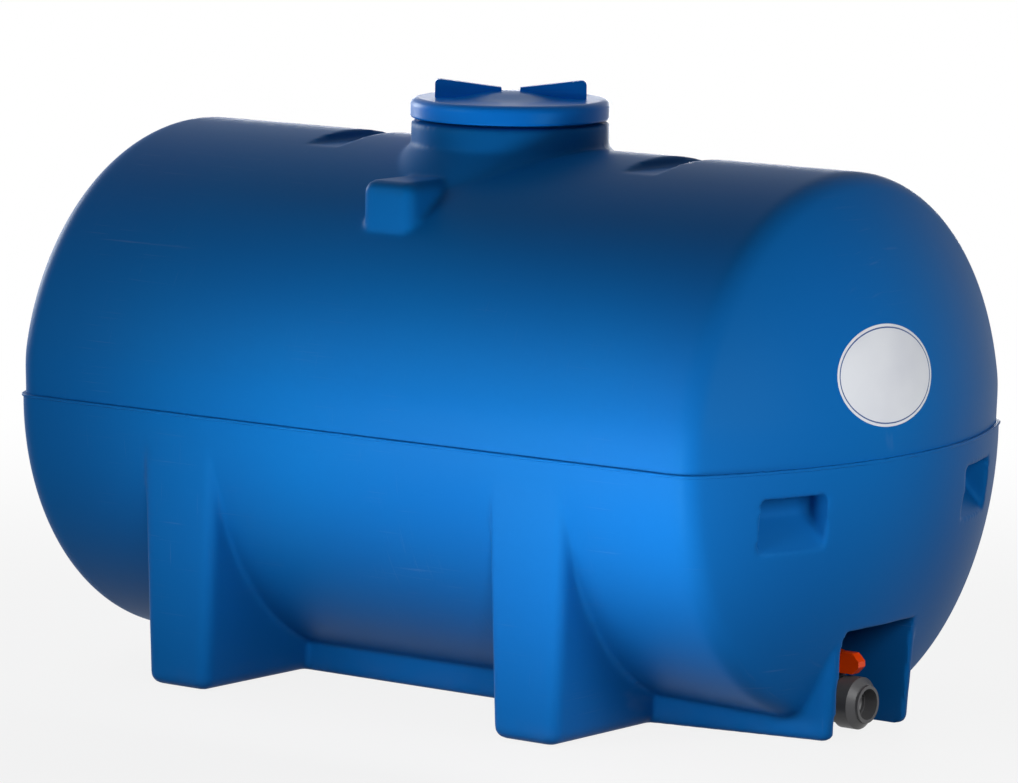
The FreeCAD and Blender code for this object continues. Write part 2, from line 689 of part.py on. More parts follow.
def lower_panels(skin):
    """Feet, belly, sump, outlet bay, grips and the lower halves of the ends."""
    for side in (LEFT, RIGHT):
        across = limits(side, KEEL_HALF, SIDE_REACH)
        for end in (FRONT, REAR):
            name = f"foot_{END_NAMES[end]}_{SIDE_NAMES[side]}"
            along = limits(end, FOOT_ZONE_NEAR[end], FOOT_ZONE_FAR[end])
            zone = box(f"{name}_zone", along, across, (-BEYOND, AXIS))
            zone_cut(name, skin, zone, [])
        zone = box(f"belly_zone_{SIDE_NAMES[side]}", (-FOOT_ZONE_NEAR[REAR], FOOT_ZONE_NEAR[FRONT]), across,
                   (-BEYOND, AXIS))
        zone_cut(f"belly_panel_{SIDE_NAMES[side]}", skin, zone, [])
    across = (-KEEL_HALF, KEEL_HALF)
    sump_zone = box("sump_zone", (-FOOT_ZONE_FAR[REAR], FOOT_ZONE_FAR[FRONT]), across, (-BEYOND, AXIS))
    zone_cut("sump", skin, sump_zone, [])
    bay_zone = box("bay_zone", (FOOT_ZONE_FAR[FRONT], END_REACH), across, (-BEYOND, BAY_ZONE_TOP))
    zone_cut("outlet_bay", skin, bay_zone, [])
    for end in (FRONT, REAR):
        taken = [bay_zone] if end == FRONT else []
        for side in (LEFT, RIGHT):
            name = f"{END_NAMES[end]}_grip_{SIDE_NAMES[side]}"
            half = S.grip_width / 2 + 2 * S.wall
            zone = grip_zone(f"{name}_pocket_zone", half)
            grip_frame(zone, end, side)
            zone_cut(name, skin, zone, [])
            taken.append(zone)
        zone = box(f"lower_end_zone_{END_NAMES[end]}", limits(end, FOOT_ZONE_FAR[end], END_REACH),
                   (-SIDE_REACH, SIDE_REACH), (-BEYOND, AXIS))
        zone_cut(f"{END_NAMES[end]}_end_lower", skin, zone, taken)


def grip_zone(name, half):
    """The block round a grip pocket that parts it from the end."""
    low = -S.grip_drop - S.grip_height - 3 * S.wall
    high = -S.grip_drop + 2 * S.wall
    back = S.dish_radius - S.grip_depth - 2 * S.wall
    front = S.dish_radius + BEYOND
    return prism(name, "XZ_Plane", ((back, low), (front, low), (front, high), (back, high)), 2 * half)


# The lid

def lid_profile_corners():
    """Half section of the lid, from its axis over the raised middle and the rim to the skirt and back."""
    crown = LID_RIM + S.lid_crown
    slope = S.lid_crown_radius + S.lid_crown_slope
    inside = S.lid_radius - S.lid_skirt
    under_crown = LID_UNDERSIDE + S.lid_crown
    return (
        (0, crown),
        (0, under_crown),
        (S.lid_crown_radius, under_crown),
        (slope, LID_UNDERSIDE),
        (inside, LID_UNDERSIDE),
        (inside, SHOULDER + S.lid_gap),
        (S.lid_radius, SHOULDER + S.lid_gap, S.lid_edge),
        (S.lid_radius, LID_RIM, S.lid_rounding),
        (slope, LID_RIM, S.lid_crown_bend),
        (S.lid_crown_radius, crown, S.lid_crown_bend),
    )


def lid():
    """Screw lid with a raised middle and two upright wings to turn it by, and the skirt round it."""
    body = new_body("lid_form")
    turned(body, outline(body, "lid_profile", "XZ_Plane", lid_profile_corners()), "V_Axis")
    root_height = LID_RIM - S.lid_plate / 4
    for sign, word in ((1, "near"), (-1, "far")):
        corners = (
            (sign * S.wing_inner, root_height),
            (sign * S.wing_outer, root_height),
            (sign * S.wing_outer, LID_RIM + S.wing_high, S.wing_rounding),
            (sign * S.wing_inner, LID_RIM + S.wing_low),
        )
        pad(body, outline(body, f"wing_{word}", "XZ_Plane", corners), S.wing_thickness, symmetric=True)
    place(body, angle=S.lid_turned)
    zone_radius = S.lid_radius + BEYOND
    plate_zone = cylinder("lid_plate_zone", zone_radius, (LID_UNDERSIDE, LID_RIM + 2 * S.wing_high))
    node("screw_lid", common("lid_plate_part", [body, plate_zone]))
    skirt_zone = cylinder("lid_skirt_zone", zone_radius, (SHOULDER, LID_UNDERSIDE))
    return node("lid_skirt", common("lid_skirt_part", [body, skirt_zone]))


def ring_node(name, inner, outer, low, high):
    """A flat upright ring."""
    body = new_body(f"{name}_body")
    corners = ((inner, low), (outer, low), (outer, high), (inner, high))
    turned(body, outline(body, f"{name}_profile", "XZ_Plane", corners), "V_Axis")
    return node(name, body)


# The outlet valve

def on_outlet(body, x=0):
    """Lays a body turned about its own X axis along the outlet's axis."""
    return place(body, x=x, z=S.outlet_height)


def pipe_node(name, corners, x, mirrored=False):
    """A piece turned about the outlet's axis, drawn towards the front, or towards the rear if mirrored."""
    body = new_body(f"{name}_body")
    turned(body, outline(body, f"{name}_profile", "XZ_Plane", corners), "H_Axis")
    if mirrored:
        place(body, x=x, z=S.outlet_height, angle=180)
    else:
        on_outlet(body, x)
    return node(name, body)


def tank_fitting():
    """The flanged fitting in the bay's wall, its rubber ring and the back nut inside the tank."""
    wall_inside = BAY_BACK - S.wall
    back_end = wall_inside - S.backnut_thickness - S.wall
    seal_front = BAY_BACK + S.flange_seal
    flange_front = seal_front + S.flange_thickness
    spigot_end = VALVE_PLACE - S.valve_half_length + S.socket_depth
    pipe_node("tank_fitting", (
        (back_end, S.outlet_bore),
        (spigot_end, S.outlet_bore),
        (spigot_end, S.socket_radius),
        (flange_front, S.socket_radius),
        (flange_front, S.flange_radius),
        (seal_front, S.flange_radius),
        (seal_front, S.stub_radius),
        (back_end, S.stub_radius),
    ), 0)
    pipe_node("fitting_seal", rectangle(BAY_BACK, seal_front, S.stub_radius, S.flange_radius), 0)
    pipe_node("fitting_back_nut",
              rectangle(wall_inside - S.backnut_thickness, wall_inside, S.stub_radius, S.backnut_radius), 0)


def rectangle(low, high, inner, outer):
    return ((low, inner), (high, inner), (high, outer), (low, outer))


def valve_ends():
    """Union nuts and union ends, the same to the front and the rear."""
    nut_outer_face = S.body_half_length + S.collar_length + S.nut_lip
    for end in (FRONT, REAR):
        mirrored = end == REAR
        pipe_node(f"union_nut_{END_NAMES[end]}", (
            (nut_outer_face - S.nut_length, S.thread_radius),
            (nut_outer_face - S.nut_lip, S.thread_radius),
            (nut_outer_face - S.nut_lip, S.socket_outer),
            (nut_outer_face, S.socket_outer),
            (nut_outer_face, S.nut_radius - S.nut_chamfer),
            (nut_outer_face - S.nut_chamfer, S.nut_radius),
            (nut_outer_face - S.nut_length, S.nut_radius),
        ), VALVE_PLACE, mirrored)
        socket_floor = S.valve_half_length - S.socket_depth
        collar_end = S.body_half_length + S.collar_length
        pipe_node(f"union_end_{END_NAMES[end]}", (
            (S.body_half_length, S.outlet_bore),
            (S.body_half_length, S.thread_radius),
            (collar_end, S.thread_radius),
            (collar_end, S.socket_outer),
            (S.valve_half_length, S.socket_outer),
            (S.valve_half_length, S.socket_radius),
            (socket_floor, S.socket_radius),
            (socket_floor, S.outlet_bore),
        ), VALVE_PLACE, mirrored)


def valve_body():
    """The round housing with its ball chamber, the bonnet and the stem's bore."""
    body = new_body("valve_body_body")
    half = S.body_half_length
    chamber = S.ball_radius + S.running_gap
    housing = outline(body, "housing_profile", "XZ_Plane", rectangle(-half, half, chamber, S.body_radius))
    turned(body, housing, "H_Axis")
    bonnet = outline(body, "bonnet_outline", "XY_Plane", (
        (-S.bonnet_radius, -S.bonnet_radius), (S.bonnet_radius, -S.bonnet_radius),
        (S.bonnet_radius, S.bonnet_radius), (-S.bonnet_radius, S.bonnet_radius)))
    bonnet_lift = FreeCAD.Vector(0, 0, BONNET_FOOT.amount)
    bonnet.AttachmentOffset = FreeCAD.Placement(bonnet_lift, FreeCAD.Rotation())
    bind(bonnet, "AttachmentOffset.Base.z", BONNET_FOOT)
    pad(body, bonnet, S.body_radius + S.bonnet_height - BONNET_FOOT)
    bore = new_sketch(body, "stem_bore", "XY_Plane")
    bore.addGeometry(Part.Circle(FreeCAD.Vector(), FreeCAD.Vector(0, 0, 1),
                                 amount_of(S.stem_radius + S.running_gap)))
    bore.addConstraint(Sketcher.Constraint("Coincident", 0, 3, -1, 1))
    tie(bore, "Radius", (0,), S.stem_radius + S.running_gap)
    pocket = body.newObject("PartDesign::Pocket", "stem_bore_pocket")
    pocket.Profile = bore
    pocket.Reversed = True
    bind(pocket, "Length", 2 * S.body_radius)
    place(body, x=VALVE_PLACE, z=S.outlet_height)
    return node("valve_body", body)


def ball_seats():
    """The two rings that hold the ball and carry the waterway on to the union ends."""
    contact = root(S.ball_radius * S.ball_radius - S.outlet_bore * S.outlet_bore)
    seat_start = contact + S.seat_gap
    for end in (FRONT, REAR):
        pipe_node(f"ball_seat_{END_NAMES[end]}",
                  rectangle(seat_start, S.body_half_length, S.outlet_bore, S.ball_radius + S.running_gap),
                  VALVE_PLACE, end == REAR)


def ball():
    """The bored ball with the slot for its stem."""
    sphere = doc.addObject("Part::Sphere", "ball_sphere")
    bind(sphere, "Radius", S.ball_radius)
    bore = doc.addObject("Part::Cylinder", "ball_bore")
    bind(bore, "Radius", S.outlet_bore)
    bind(bore, "Height", 4 * S.ball_radius)
    place(bore, x=-2 * S.ball_radius, axis=(0, 1, 0), angle=90)
    stem_seat = cylinder("ball_stem_seat", S.stem_radius, (STEM_FOOT, 2 * S.ball_radius))
    bored = cut("bored_ball", sphere, fuse("ball_hollows", [bore, stem_seat]))
    place(bored, x=VALVE_PLACE, z=S.outlet_height)
    return node("valve_ball", bored)


def stem():
    """The round stem from the ball up into the handle."""
    low = S.outlet_height + STEM_FOOT
    high = S.outlet_height + S.handle_lift + S.handle_height / 2
    return node("valve_stem", cylinder("stem_pin", S.stem_radius, (low, high), x=VALVE_PLACE))


def handle():
    """The bar handle with chamfered ends on a round hub."""
    body = new_body("handle_body")
    low = S.handle_lift
    high = S.handle_lift + S.handle_height
    reach = S.handle_reach
    cham = S.handle_chamfer
    corners = (
        (-reach + cham, low), (reach - cham, low), (reach, low + cham), (reach, high - cham),
        (reach - cham, high), (-reach + cham, high), (-reach, high - cham), (-reach, low + cham),
    )
    pad(body, outline(body, "handle_outline", "XZ_Plane", corners), S.handle_width, symmetric=True)
    hub_corners = ((0, low), (S.hub_radius, low), (S.hub_radius, high), (0, high))
    hub = outline(body, "hub_profile", "XZ_Plane", hub_corners)
    turned(body, hub, "V_Axis")
    hole = new_sketch(body, "stem_socket", "XY_Plane")
    hole.addGeometry(Part.Circle(FreeCAD.Vector(), FreeCAD.Vector(0, 0, 1), S.stem_radius.amount))
    hole.addConstraint(Sketcher.Constraint("Coincident", 0, 3, -1, 1))
    tie(hole, "Radius", (0,), S.stem_radius)
    pocket = body.newObject("PartDesign::Pocket", "stem_socket_pocket")
    pocket.Profile = hole
    pocket.Reversed = True
    bind(pocket, "Length", S.handle_lift + S.handle_height / 2)
    place(body, x=VALVE_PLACE, z=S.outlet_height)
    return node("valve_handle", body)


skin = moulded_skin()
upper_panels(skin)
lower_panels(skin)
lid()
ring_node("lid_seal", S.spigot_radius - S.seal_width, S.spigot_radius, SPIGOT_TOP, LID_UNDERSIDE)
tank_fitting()
valve_ends()
valve_body()
ball_seats()
ball()
stem()
handle()
doc.recompute()

failed = [item.Name for item in doc.Objects if "Invalid" in item.State or "Error" in item.State]
bad = [name for name, item in nodes.items() if item.Shape.isNull() or not item.Shape.isValid()]
if failed or bad:
    raise RuntimeError(f"failed objects {failed}, bad shapes {bad}")

os.makedirs("parts", exist_ok=True)
for name, item in nodes.items():
    item.Shape.exportStep(f"parts/{name}.step")
    extent = item.Shape.BoundBox
    print(f"{name}: volume {item.Shape.Volume / 1000:.1f} cm3, solids {len(item.Shape.Solids)}, "
          f"z {extent.ZMin:.1f} to {extent.ZMax:.1f}")
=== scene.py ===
import math

import bmesh
import bpy
from mathutils import Matrix, Vector


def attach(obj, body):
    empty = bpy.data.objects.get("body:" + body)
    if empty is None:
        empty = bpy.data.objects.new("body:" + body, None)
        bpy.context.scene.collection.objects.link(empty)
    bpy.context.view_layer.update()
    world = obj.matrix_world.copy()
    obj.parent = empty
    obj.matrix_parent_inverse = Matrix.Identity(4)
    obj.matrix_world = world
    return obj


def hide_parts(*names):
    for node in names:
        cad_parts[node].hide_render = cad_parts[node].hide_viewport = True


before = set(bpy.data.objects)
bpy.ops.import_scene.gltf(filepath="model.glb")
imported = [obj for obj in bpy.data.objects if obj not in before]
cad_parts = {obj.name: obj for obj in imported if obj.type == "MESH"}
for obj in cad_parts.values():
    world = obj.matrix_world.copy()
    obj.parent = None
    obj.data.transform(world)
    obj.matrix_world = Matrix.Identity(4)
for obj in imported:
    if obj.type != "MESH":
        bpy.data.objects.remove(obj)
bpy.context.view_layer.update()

# The tank's sizes, in metres, as in its solids
BARREL_RADIUS = 0.500
HALF_STRAIGHT = 0.750
DISH_RADIUS = 0.965
KNUCKLE_RADIUS = 0.055
AXIS_HEIGHT = 0.517
CROWN = AXIS_HEIGHT + BARREL_RADIUS
QUARTER_TURN = math.pi / 2
DISH_RISE = BARREL_RADIUS - KNUCKLE_RADIUS
DISH_CENTRE = HALF_STRAIGHT - math.sqrt((DISH_RADIUS - KNUCKLE_RADIUS) ** 2 - DISH_RISE ** 2)
DISH_ANGLE = math.asin(DISH_RISE / (DISH_RADIUS - KNUCKLE_RADIUS))
END_REACH = DISH_CENTRE + DISH_RADIUS
WALL = 0.007
RIDGE_HALF = 0.003
RIDGE_PROUD = 0.003
RIDGE_CORNER = 0.9 * RIDGE_HALF
RIDGE_OVERLAP = 0.001
FOOT_PLACES = (0.427, -0.391)
FOOT_LENGTH = 0.187
FOOT_DRAFT = 0.022
FOOT_FACE = 0.498
FOOT_ROOT = 0.155
FOOT_CORNER = 0.022
KEEL_HALF = 0.197
KEEL_REAR = -0.4625
KEEL_TOP = 0.101
KEEL_CORNER = 0.014
NOSE_START = 0.4845
NOSE_REACH = 0.855
NOSE_HALF = 0.132
NOSE_TOP = 0.244
NOSE_LEAN = math.radians(5)
NOSE_MIDDLE = 0.600
BAY_HALF = 0.1095
BAY_HEIGHT = 0.202
BAY_BACK = 0.628
BAY_CORNER = 0.008
BAY_CUT_FRONT = 0.960
BAY_CUT_FOOT = -0.050
CHANNEL_PLACES = (0.400, -0.345)
CHANNEL_HALF = 0.0385
CHANNEL_REACH = 0.190
CHANNEL_FLOOR = CROWN - 0.019
CHANNEL_CORNER = 0.004
BOSS_PLACE = -0.0185
BOSS_HALF = 0.0595
BOSS_FACE = 0.350
BOSS_TOP = CROWN - 0.048
BOSS_FOOT = 0.767
BOSS_CORNER = 0.024
GRIP_TURN = math.radians(17.7)
GRIP_WIDTH = 0.148
GRIP_ROOF = -0.049
GRIP_KNEE = -0.089
GRIP_SILL = -0.147
GRIP_DEPTH = 0.062
GRIP_CORNER = 0.008
NECK_RADIUS = 0.186
NECK_CORNER = 0.007
SHOULDER = CROWN + 0.044
SADDLE_TOP = CROWN - 0.002
SADDLE_HEIGHT = 0.098
SPIGOT_RADIUS = 0.164
SPIGOT_TOP = SHOULDER + 0.030

# How far forms run into each other, and how far cutters run out of them
BURIED = 0.917
BEYOND = 0.030
OVERLAP = 0.010

# How finely forms are drawn
BARREL_SIDES = 256
NECK_SIDES = 160
KNUCKLE_RINGS = 8
DISH_RINGS = 24
LARGE_CORNER_STEPS = 6
KEEL_CORNER_STEPS = 5
CORNER_STEPS = 4
FINE_CORNER_STEPS = 3

# How faces and edges are told by their place: the same place, near it, and facing a way
SAME_PLACE = 1e-5
NEAR = 0.010
FACING = 0.9
LEVEL = 0.99

# How the moulded skin is meshed and finished
SKIN_GRID = 0.0055
SKIN_SOFTNESS = 0.5
SKIN_SOFTENINGS = 2
WAIST_DEPTH = 0.004
WAIST_HEIGHT = 0.095
STRETCH_CUT = 0.250
INSIDE_SHARE = 0.15
SMOOTH_ANGLE = math.radians(50)


# Modelling by hand: what is selected and worked on

def nothing_selected():
    """Deselects every object."""
    bpy.ops.object.select_all(action="DESELECT")


def work_on(piece):
    """Makes one piece the only selected and active one."""
    nothing_selected()
    piece.select_set(True)
    bpy.context.view_layer.objects.active = piece
    return piece


def edit(piece):
    """Opens a piece in edit mode with nothing selected."""
    work_on(piece)
    bpy.ops.object.mode_set(mode="EDIT")
    bpy.ops.mesh.select_mode(type="FACE")
    bpy.ops.mesh.select_all(action="DESELECT")


def close_edit():
    """Goes back to object mode, which writes the edited mesh."""
    bpy.ops.object.mode_set(mode="OBJECT")


def pick_faces(piece, test):
    """Selects the faces whose middle and normal pass the test."""
    bpy.ops.mesh.select_mode(type="FACE")
    mesh = bmesh.from_edit_mesh(piece.data)
    for face in mesh.faces:
        face.select_set(test(face.calc_center_median(), face.normal))
    bmesh.update_edit_mesh(piece.data)


def pick_edges(piece, test):
    """Selects the edges whose two ends pass the test."""
    bpy.ops.mesh.select_all(action="DESELECT")
    bpy.ops.mesh.select_mode(type="EDGE")
    mesh = bmesh.from_edit_mesh(piece.data)
    for edge in mesh.edges:
        edge.select_set(test(edge.verts[0].co, edge.verts[1].co))
    bmesh.update_edit_mesh(piece.data)


def close(first, second):
    """Whether two coordinates are the same but for rounding."""
    return abs(first - second) < SAME_PLACE


def both_at(place, first, second):
    """Whether two coordinates are both at a place."""
    return close(first, place) and close(second, place)


def named(name):
    """Names the piece just added and puts its place into its mesh."""
    piece = bpy.context.object
    piece.name = name
    piece.data.name = name
    bpy.ops.object.transform_apply(location=True, rotation=True, scale=True)
    return piece


def block(name, x, y, z):
    """A cube stretched between pairs of limits."""
    nothing_selected()
    middle = [(low + high) / 2 for low, high in (x, y, z)]
    sides = [high - low for low, high in (x, y, z)]
    bpy.ops.mesh.primitive_cube_add(size=1, location=middle, scale=sides)
    return named(name)


def rod(name, radius, low, high):
    """An upright cylinder on the neck's axis between two heights."""
    nothing_selected()
    bpy.ops.mesh.primitive_cylinder_add(vertices=NECK_SIDES, radius=radius, depth=high - low,
                                        location=(0, 0, (low + high) / 2))
    return named(name)


def finish_modifier(piece, kind, **settings):
    """Adds one modifier with its settings and applies it."""
    work_on(piece)
    modifier = piece.modifiers.new(kind.lower(), kind)
    for name, value in settings.items():
        setattr(modifier, name, value)
    bpy.ops.object.modifier_apply(modifier=modifier.name)
    return piece


def carve(piece, cutters):
    """Cuts each cutter out of the piece."""
    for cutter in cutters:
        finish_modifier(piece, "BOOLEAN", operation="DIFFERENCE", solver="EXACT", object=cutter)
    return piece


def remove(pieces):
    """Removes pieces that have done their work."""
    for piece in pieces:
        bpy.data.objects.remove(piece)


def joined(name, pieces):
    """Joins several pieces into one mesh."""
    work_on(pieces[0])
    for piece in pieces[1:]:
        piece.select_set(True)
    bpy.ops.object.join()
    pieces[0].name = name
    pieces[0].data.name = name
    return pieces[0]


def copy_of(piece, name):
    """A copy of a piece with a mesh of its own."""
    work_on(piece)
    bpy.ops.object.duplicate()
    twin = bpy.context.object
    twin.name = name
    twin.data.name = name
    return twin


def bevel(width, steps):
    """Rounds the selected edges."""
    bpy.ops.mesh.bevel(offset=width, segments=steps, affect="EDGES", profile=0.5)


def cut_away(piece, place, direction, fill=False):
    """Cuts off all that lies beyond a plane."""
    edit(piece)
    bpy.ops.mesh.select_all(action="SELECT")
    bpy.ops.mesh.bisect(plane_co=place, plane_no=direction, clear_outer=True, use_fill=fill)
    close_edit()


def smooth(piece):
    """Shades a piece smooth, but for its sharp edges."""
    work_on(piece)
    bpy.ops.object.shade_smooth_by_angle(angle=SMOOTH_ANGLE)
    return piece


# The moulded tank's forms

def end_rings(spare):
    """Radius and reach of each ring of a domed end, from the knuckle to near the pole."""
    knuckle = KNUCKLE_RADIUS + spare
    dish = DISH_RADIUS + spare
    rings = []
    for step in range(1, KNUCKLE_RINGS + 1):
        angle = QUARTER_TURN + (DISH_ANGLE - QUARTER_TURN) * step / KNUCKLE_RINGS
        rings.append((DISH_RISE + knuckle * math.sin(angle), HALF_STRAIGHT + knuckle * math.cos(angle)))
    for step in range(1, DISH_RINGS):
        angle = DISH_ANGLE * (1 - step / DISH_RINGS)
        rings.append((dish * math.sin(angle), DISH_CENTRE + dish * math.cos(angle)))
    return rings


def barrel(name, spare=0.0):
    """The barrel as a cylinder whose flat ends are drawn out ring by ring into domes."""
    nothing_selected()
    bpy.ops.mesh.primitive_cylinder_add(vertices=BARREL_SIDES, radius=BARREL_RADIUS + spare,
                                        depth=2 * HALF_STRAIGHT, location=(0, 0, AXIS_HEIGHT),
                                        rotation=(0, QUARTER_TURN, 0))
    piece = named(name)
    for end in (1, -1):
        edit(piece)
        pick_faces(piece, lambda middle, normal: normal.x * end > FACING)
        radius = BARREL_RADIUS + spare
        reach = HALF_STRAIGHT
        for next_radius, next_reach in end_rings(spare):
            step = (end * (next_reach - reach), 0, 0)
            bpy.ops.mesh.extrude_region_move(TRANSFORM_OT_translate={"value": step})
            share = next_radius / radius
            centre = (end * next_reach, 0, AXIS_HEIGHT)
            bpy.ops.transform.resize(value=(1, share, share), center_override=centre)
            radius = next_radius
            reach = next_reach
        bpy.ops.mesh.poke()
        close_edit()
    return piece


def foot(name, place, side):
    """A foot block that narrows down to the ground, with rounded outer edges."""
    half = FOOT_LENGTH / 2
    outer = side * FOOT_FACE
    piece = block(name, (place - half, place + half), sorted((side * FOOT_ROOT, outer)), (0, AXIS_HEIGHT))
    edit(piece)
    pick_faces(piece, lambda middle, normal: normal.z < -FACING)
    share = (half - FOOT_DRAFT) / half
    bpy.ops.transform.resize(value=(share, 1, 1), center_override=(place, 0, 0))
    pick_edges(piece, lambda a, b: (both_at(0, a.z, b.z) and close(a.x, b.x)) or (
        both_at(outer, a.y, b.y) and min(a.z, b.z) < NEAR))
    bevel(FOOT_CORNER, LARGE_CORNER_STEPS)
    close_edit()
    return piece


def keel():
    """The sump between the feet, with rounded ground edges."""
    piece = block("keel_form", (KEEL_REAR, NOSE_START + OVERLAP), (-KEEL_HALF, KEEL_HALF), (0, KEEL_TOP))
    edit(piece)
    pick_edges(piece, lambda a, b: both_at(0, a.z, b.z) and (
        close(a.y, b.y) or (close(a.x, b.x) and a.x < 0)))
    bevel(KEEL_CORNER, KEEL_CORNER_STEPS)
    close_edit()
    return piece


def nose():
    """The sump's front, narrowed towards the outlet and leaning back to the ground."""
    piece = block("nose_form", (NOSE_START, NOSE_REACH), (-KEEL_HALF, KEEL_HALF), (0, NOSE_TOP))
    edit(piece)
    pick_faces(piece, lambda middle, normal: normal.x > FACING)
    share = NOSE_HALF / KEEL_HALF
    bpy.ops.transform.resize(value=(1, share, 1), center_override=(NOSE_REACH, 0, 0))
    slope = math.tan(NOSE_LEAN)
    for level in (0, NOSE_TOP):
        pick_edges(piece, lambda a, b: both_at(level, a.z, b.z) and close(a.x, b.x) and a.x > NOSE_MIDDLE)
        bpy.ops.transform.translate(value=((level - BAY_HEIGHT) * slope, 0, 0))
    pick_edges(piece, lambda a, b: (max(a.z, b.z) < NEAR and max(a.x, b.x) > NOSE_MIDDLE) or (
        min(a.x, b.x) > NOSE_MIDDLE and close(a.y, b.y)))
    bevel(KEEL_CORNER, KEEL_CORNER_STEPS)
    close_edit()
    return piece


def boss(name, side):
    """A flat-faced seat for an extra fitting, with large upper corners."""
    outer = side * BOSS_FACE
    piece = block(name, (BOSS_PLACE - BOSS_HALF, BOSS_PLACE + BOSS_HALF), sorted((outer / 2, outer)),
                  (BOSS_FOOT, BOSS_TOP))
    edit(piece)
    pick_edges(piece, lambda a, b: (both_at(BOSS_TOP, a.z, b.z) and close(a.x, b.x)) or (
        both_at(outer, a.y, b.y) and max(a.z, b.z) > BOSS_TOP - NEAR))
    bevel(BOSS_CORNER, LARGE_CORNER_STEPS)
    close_edit()
    return piece


def neck():
    """The filler neck with its rounded shoulder, the fairing round its foot, and the spigot for the lid."""
    tube = rod("neck_form", NECK_RADIUS, BURIED, SHOULDER)
    edit(tube)
    pick_edges(tube, lambda a, b: both_at(SHOULDER, a.z, b.z))
    bevel(NECK_CORNER, CORNER_STEPS)
    close_edit()
    nothing_selected()
    bpy.ops.mesh.primitive_cone_add(vertices=NECK_SIDES, radius1=NECK_RADIUS + SADDLE_HEIGHT,
                                    radius2=NECK_RADIUS, depth=SADDLE_HEIGHT,
                                    location=(0, 0, SADDLE_TOP - SADDLE_HEIGHT / 2))
    saddle = named("saddle_form")
    return [tube, saddle, rod("spigot_form", SPIGOT_RADIUS, BURIED, SPIGOT_TOP + BEYOND)]


def bay_cutter():
    """The outlet bay's space, with rounded upper corners."""
    piece = block("bay_cutter", (BAY_BACK, BAY_CUT_FRONT), (-BAY_HALF, BAY_HALF), (BAY_CUT_FOOT, BAY_HEIGHT))
    edit(piece)
    pick_edges(piece, lambda a, b: both_at(BAY_HEIGHT, a.z, b.z) and close(a.y, b.y))
    bevel(BAY_CORNER, CORNER_STEPS)
    close_edit()
    return piece


def channel_cutters():
    """The spaces of the two strap channels over the crown, with small floor corners."""
    cutters = []
    for place in CHANNEL_PLACES:
        piece = block("channel_cutter", (place - CHANNEL_HALF, place + CHANNEL_HALF),
                      (-CHANNEL_REACH, CHANNEL_REACH), (CHANNEL_FLOOR, CROWN + BEYOND))
        edit(piece)
        pick_edges(piece, lambda a, b: both_at(CHANNEL_FLOOR, a.z, b.z) and close(a.x, b.x))
        bevel(CHANNEL_CORNER, FINE_CORNER_STEPS)
        close_edit()
        cutters.append(piece)
    return cutters


def grip_cutters():
    """The four hand pockets: a level roof, a short back wall and a floor that slopes out and down."""
    cutters = []
    back = DISH_RADIUS - GRIP_DEPTH
    lip = DISH_RADIUS - 2 * WALL
    for turn in (GRIP_TURN, -GRIP_TURN, math.pi - GRIP_TURN, math.pi + GRIP_TURN):
        piece = block("grip_cutter", (back, DISH_RADIUS + BEYOND), (-GRIP_WIDTH / 2, GRIP_WIDTH / 2),
                      (GRIP_SILL, GRIP_ROOF))
        edit(piece)
        bpy.ops.mesh.select_all(action="SELECT")
        bpy.ops.mesh.bisect(plane_co=(lip, 0, GRIP_SILL), plane_no=(1, 0, 0))
        pick_edges(piece, lambda a, b: both_at(back, a.x, b.x) and both_at(GRIP_SILL, a.z, b.z))
        bpy.ops.transform.translate(value=(0, 0, GRIP_KNEE - GRIP_SILL))
        pick_edges(piece, lambda a, b: both_at(GRIP_ROOF, a.z, b.z) and close(a.y, b.y))
        bevel(GRIP_CORNER, CORNER_STEPS)
        close_edit()
        work_on(piece)
        piece.rotation_euler = (0, 0, turn)
        piece.location = (DISH_CENTRE if math.cos(turn) > 0 else -DISH_CENTRE, 0, AXIS_HEIGHT)
        bpy.ops.object.transform_apply(location=True, rotation=True, scale=True)
        cutters.append(piece)
    return cutters


def tank_skin():
    """The outside of the moulding in one mesh: its forms merged, with the soft edges that moulding leaves."""
    bay = bay_cutter()
    channels = channel_cutters()
    grips = grip_cutters()
    body = carve(barrel("barrel_form"), [bay] + channels + grips)
    front = carve(nose(), [bay])
    low = carve(keel(), [bay])
    feet = [foot("foot_form", place, side) for place in FOOT_PLACES for side in (1, -1)]
    bosses = [boss("boss_form", side) for side in (1, -1)]
    whole = joined("tank_skin", [body, low, front] + feet + bosses + neck())
    remove([bay] + channels + grips)
    finish_modifier(whole, "REMESH", mode="VOXEL", voxel_size=SKIN_GRID, use_smooth_shade=True)
    finish_modifier(whole, "SMOOTH", factor=SKIN_SOFTNESS, iterations=SKIN_SOFTENINGS)
    return whole


def draw_in_at_seam(piece):
    """Draws the upper half in a little towards the mould's parting line, as a shallow waist."""
    edit(piece)
    pick_edges(piece, lambda a, b: both_at(AXIS_HEIGHT, a.z, b.z))
    bpy.ops.transform.resize(value=(1 - WAIST_DEPTH / END_REACH, 1 - WAIST_DEPTH / BARREL_RADIUS, 1),
                             center_override=(0, 0, AXIS_HEIGHT), use_proportional_edit=True,
                             proportional_edit_falloff="SMOOTH", proportional_size=WAIST_HEIGHT)
    close_edit()


def walled(piece, outside, inside):
    """Gives a stretch of the skin its wall, with a plainer mesh on the inside."""
    piece.data.materials.clear()
    piece.data.materials.append(outside)
    piece.data.materials.append(inside)
    finish_modifier(piece, "SOLIDIFY", thickness=WALL, offset=-1, use_rim=True, material_offset=1)
    edit(piece)
    mesh = bmesh.from_edit_mesh(piece.data)
    for face in mesh.faces:
        face.select_set(face.material_index == 1)
    bmesh.update_edit_mesh(piece.data)
    bpy.ops.mesh.decimate(ratio=INSIDE_SHARE)
    close_edit()
    return smooth(piece)


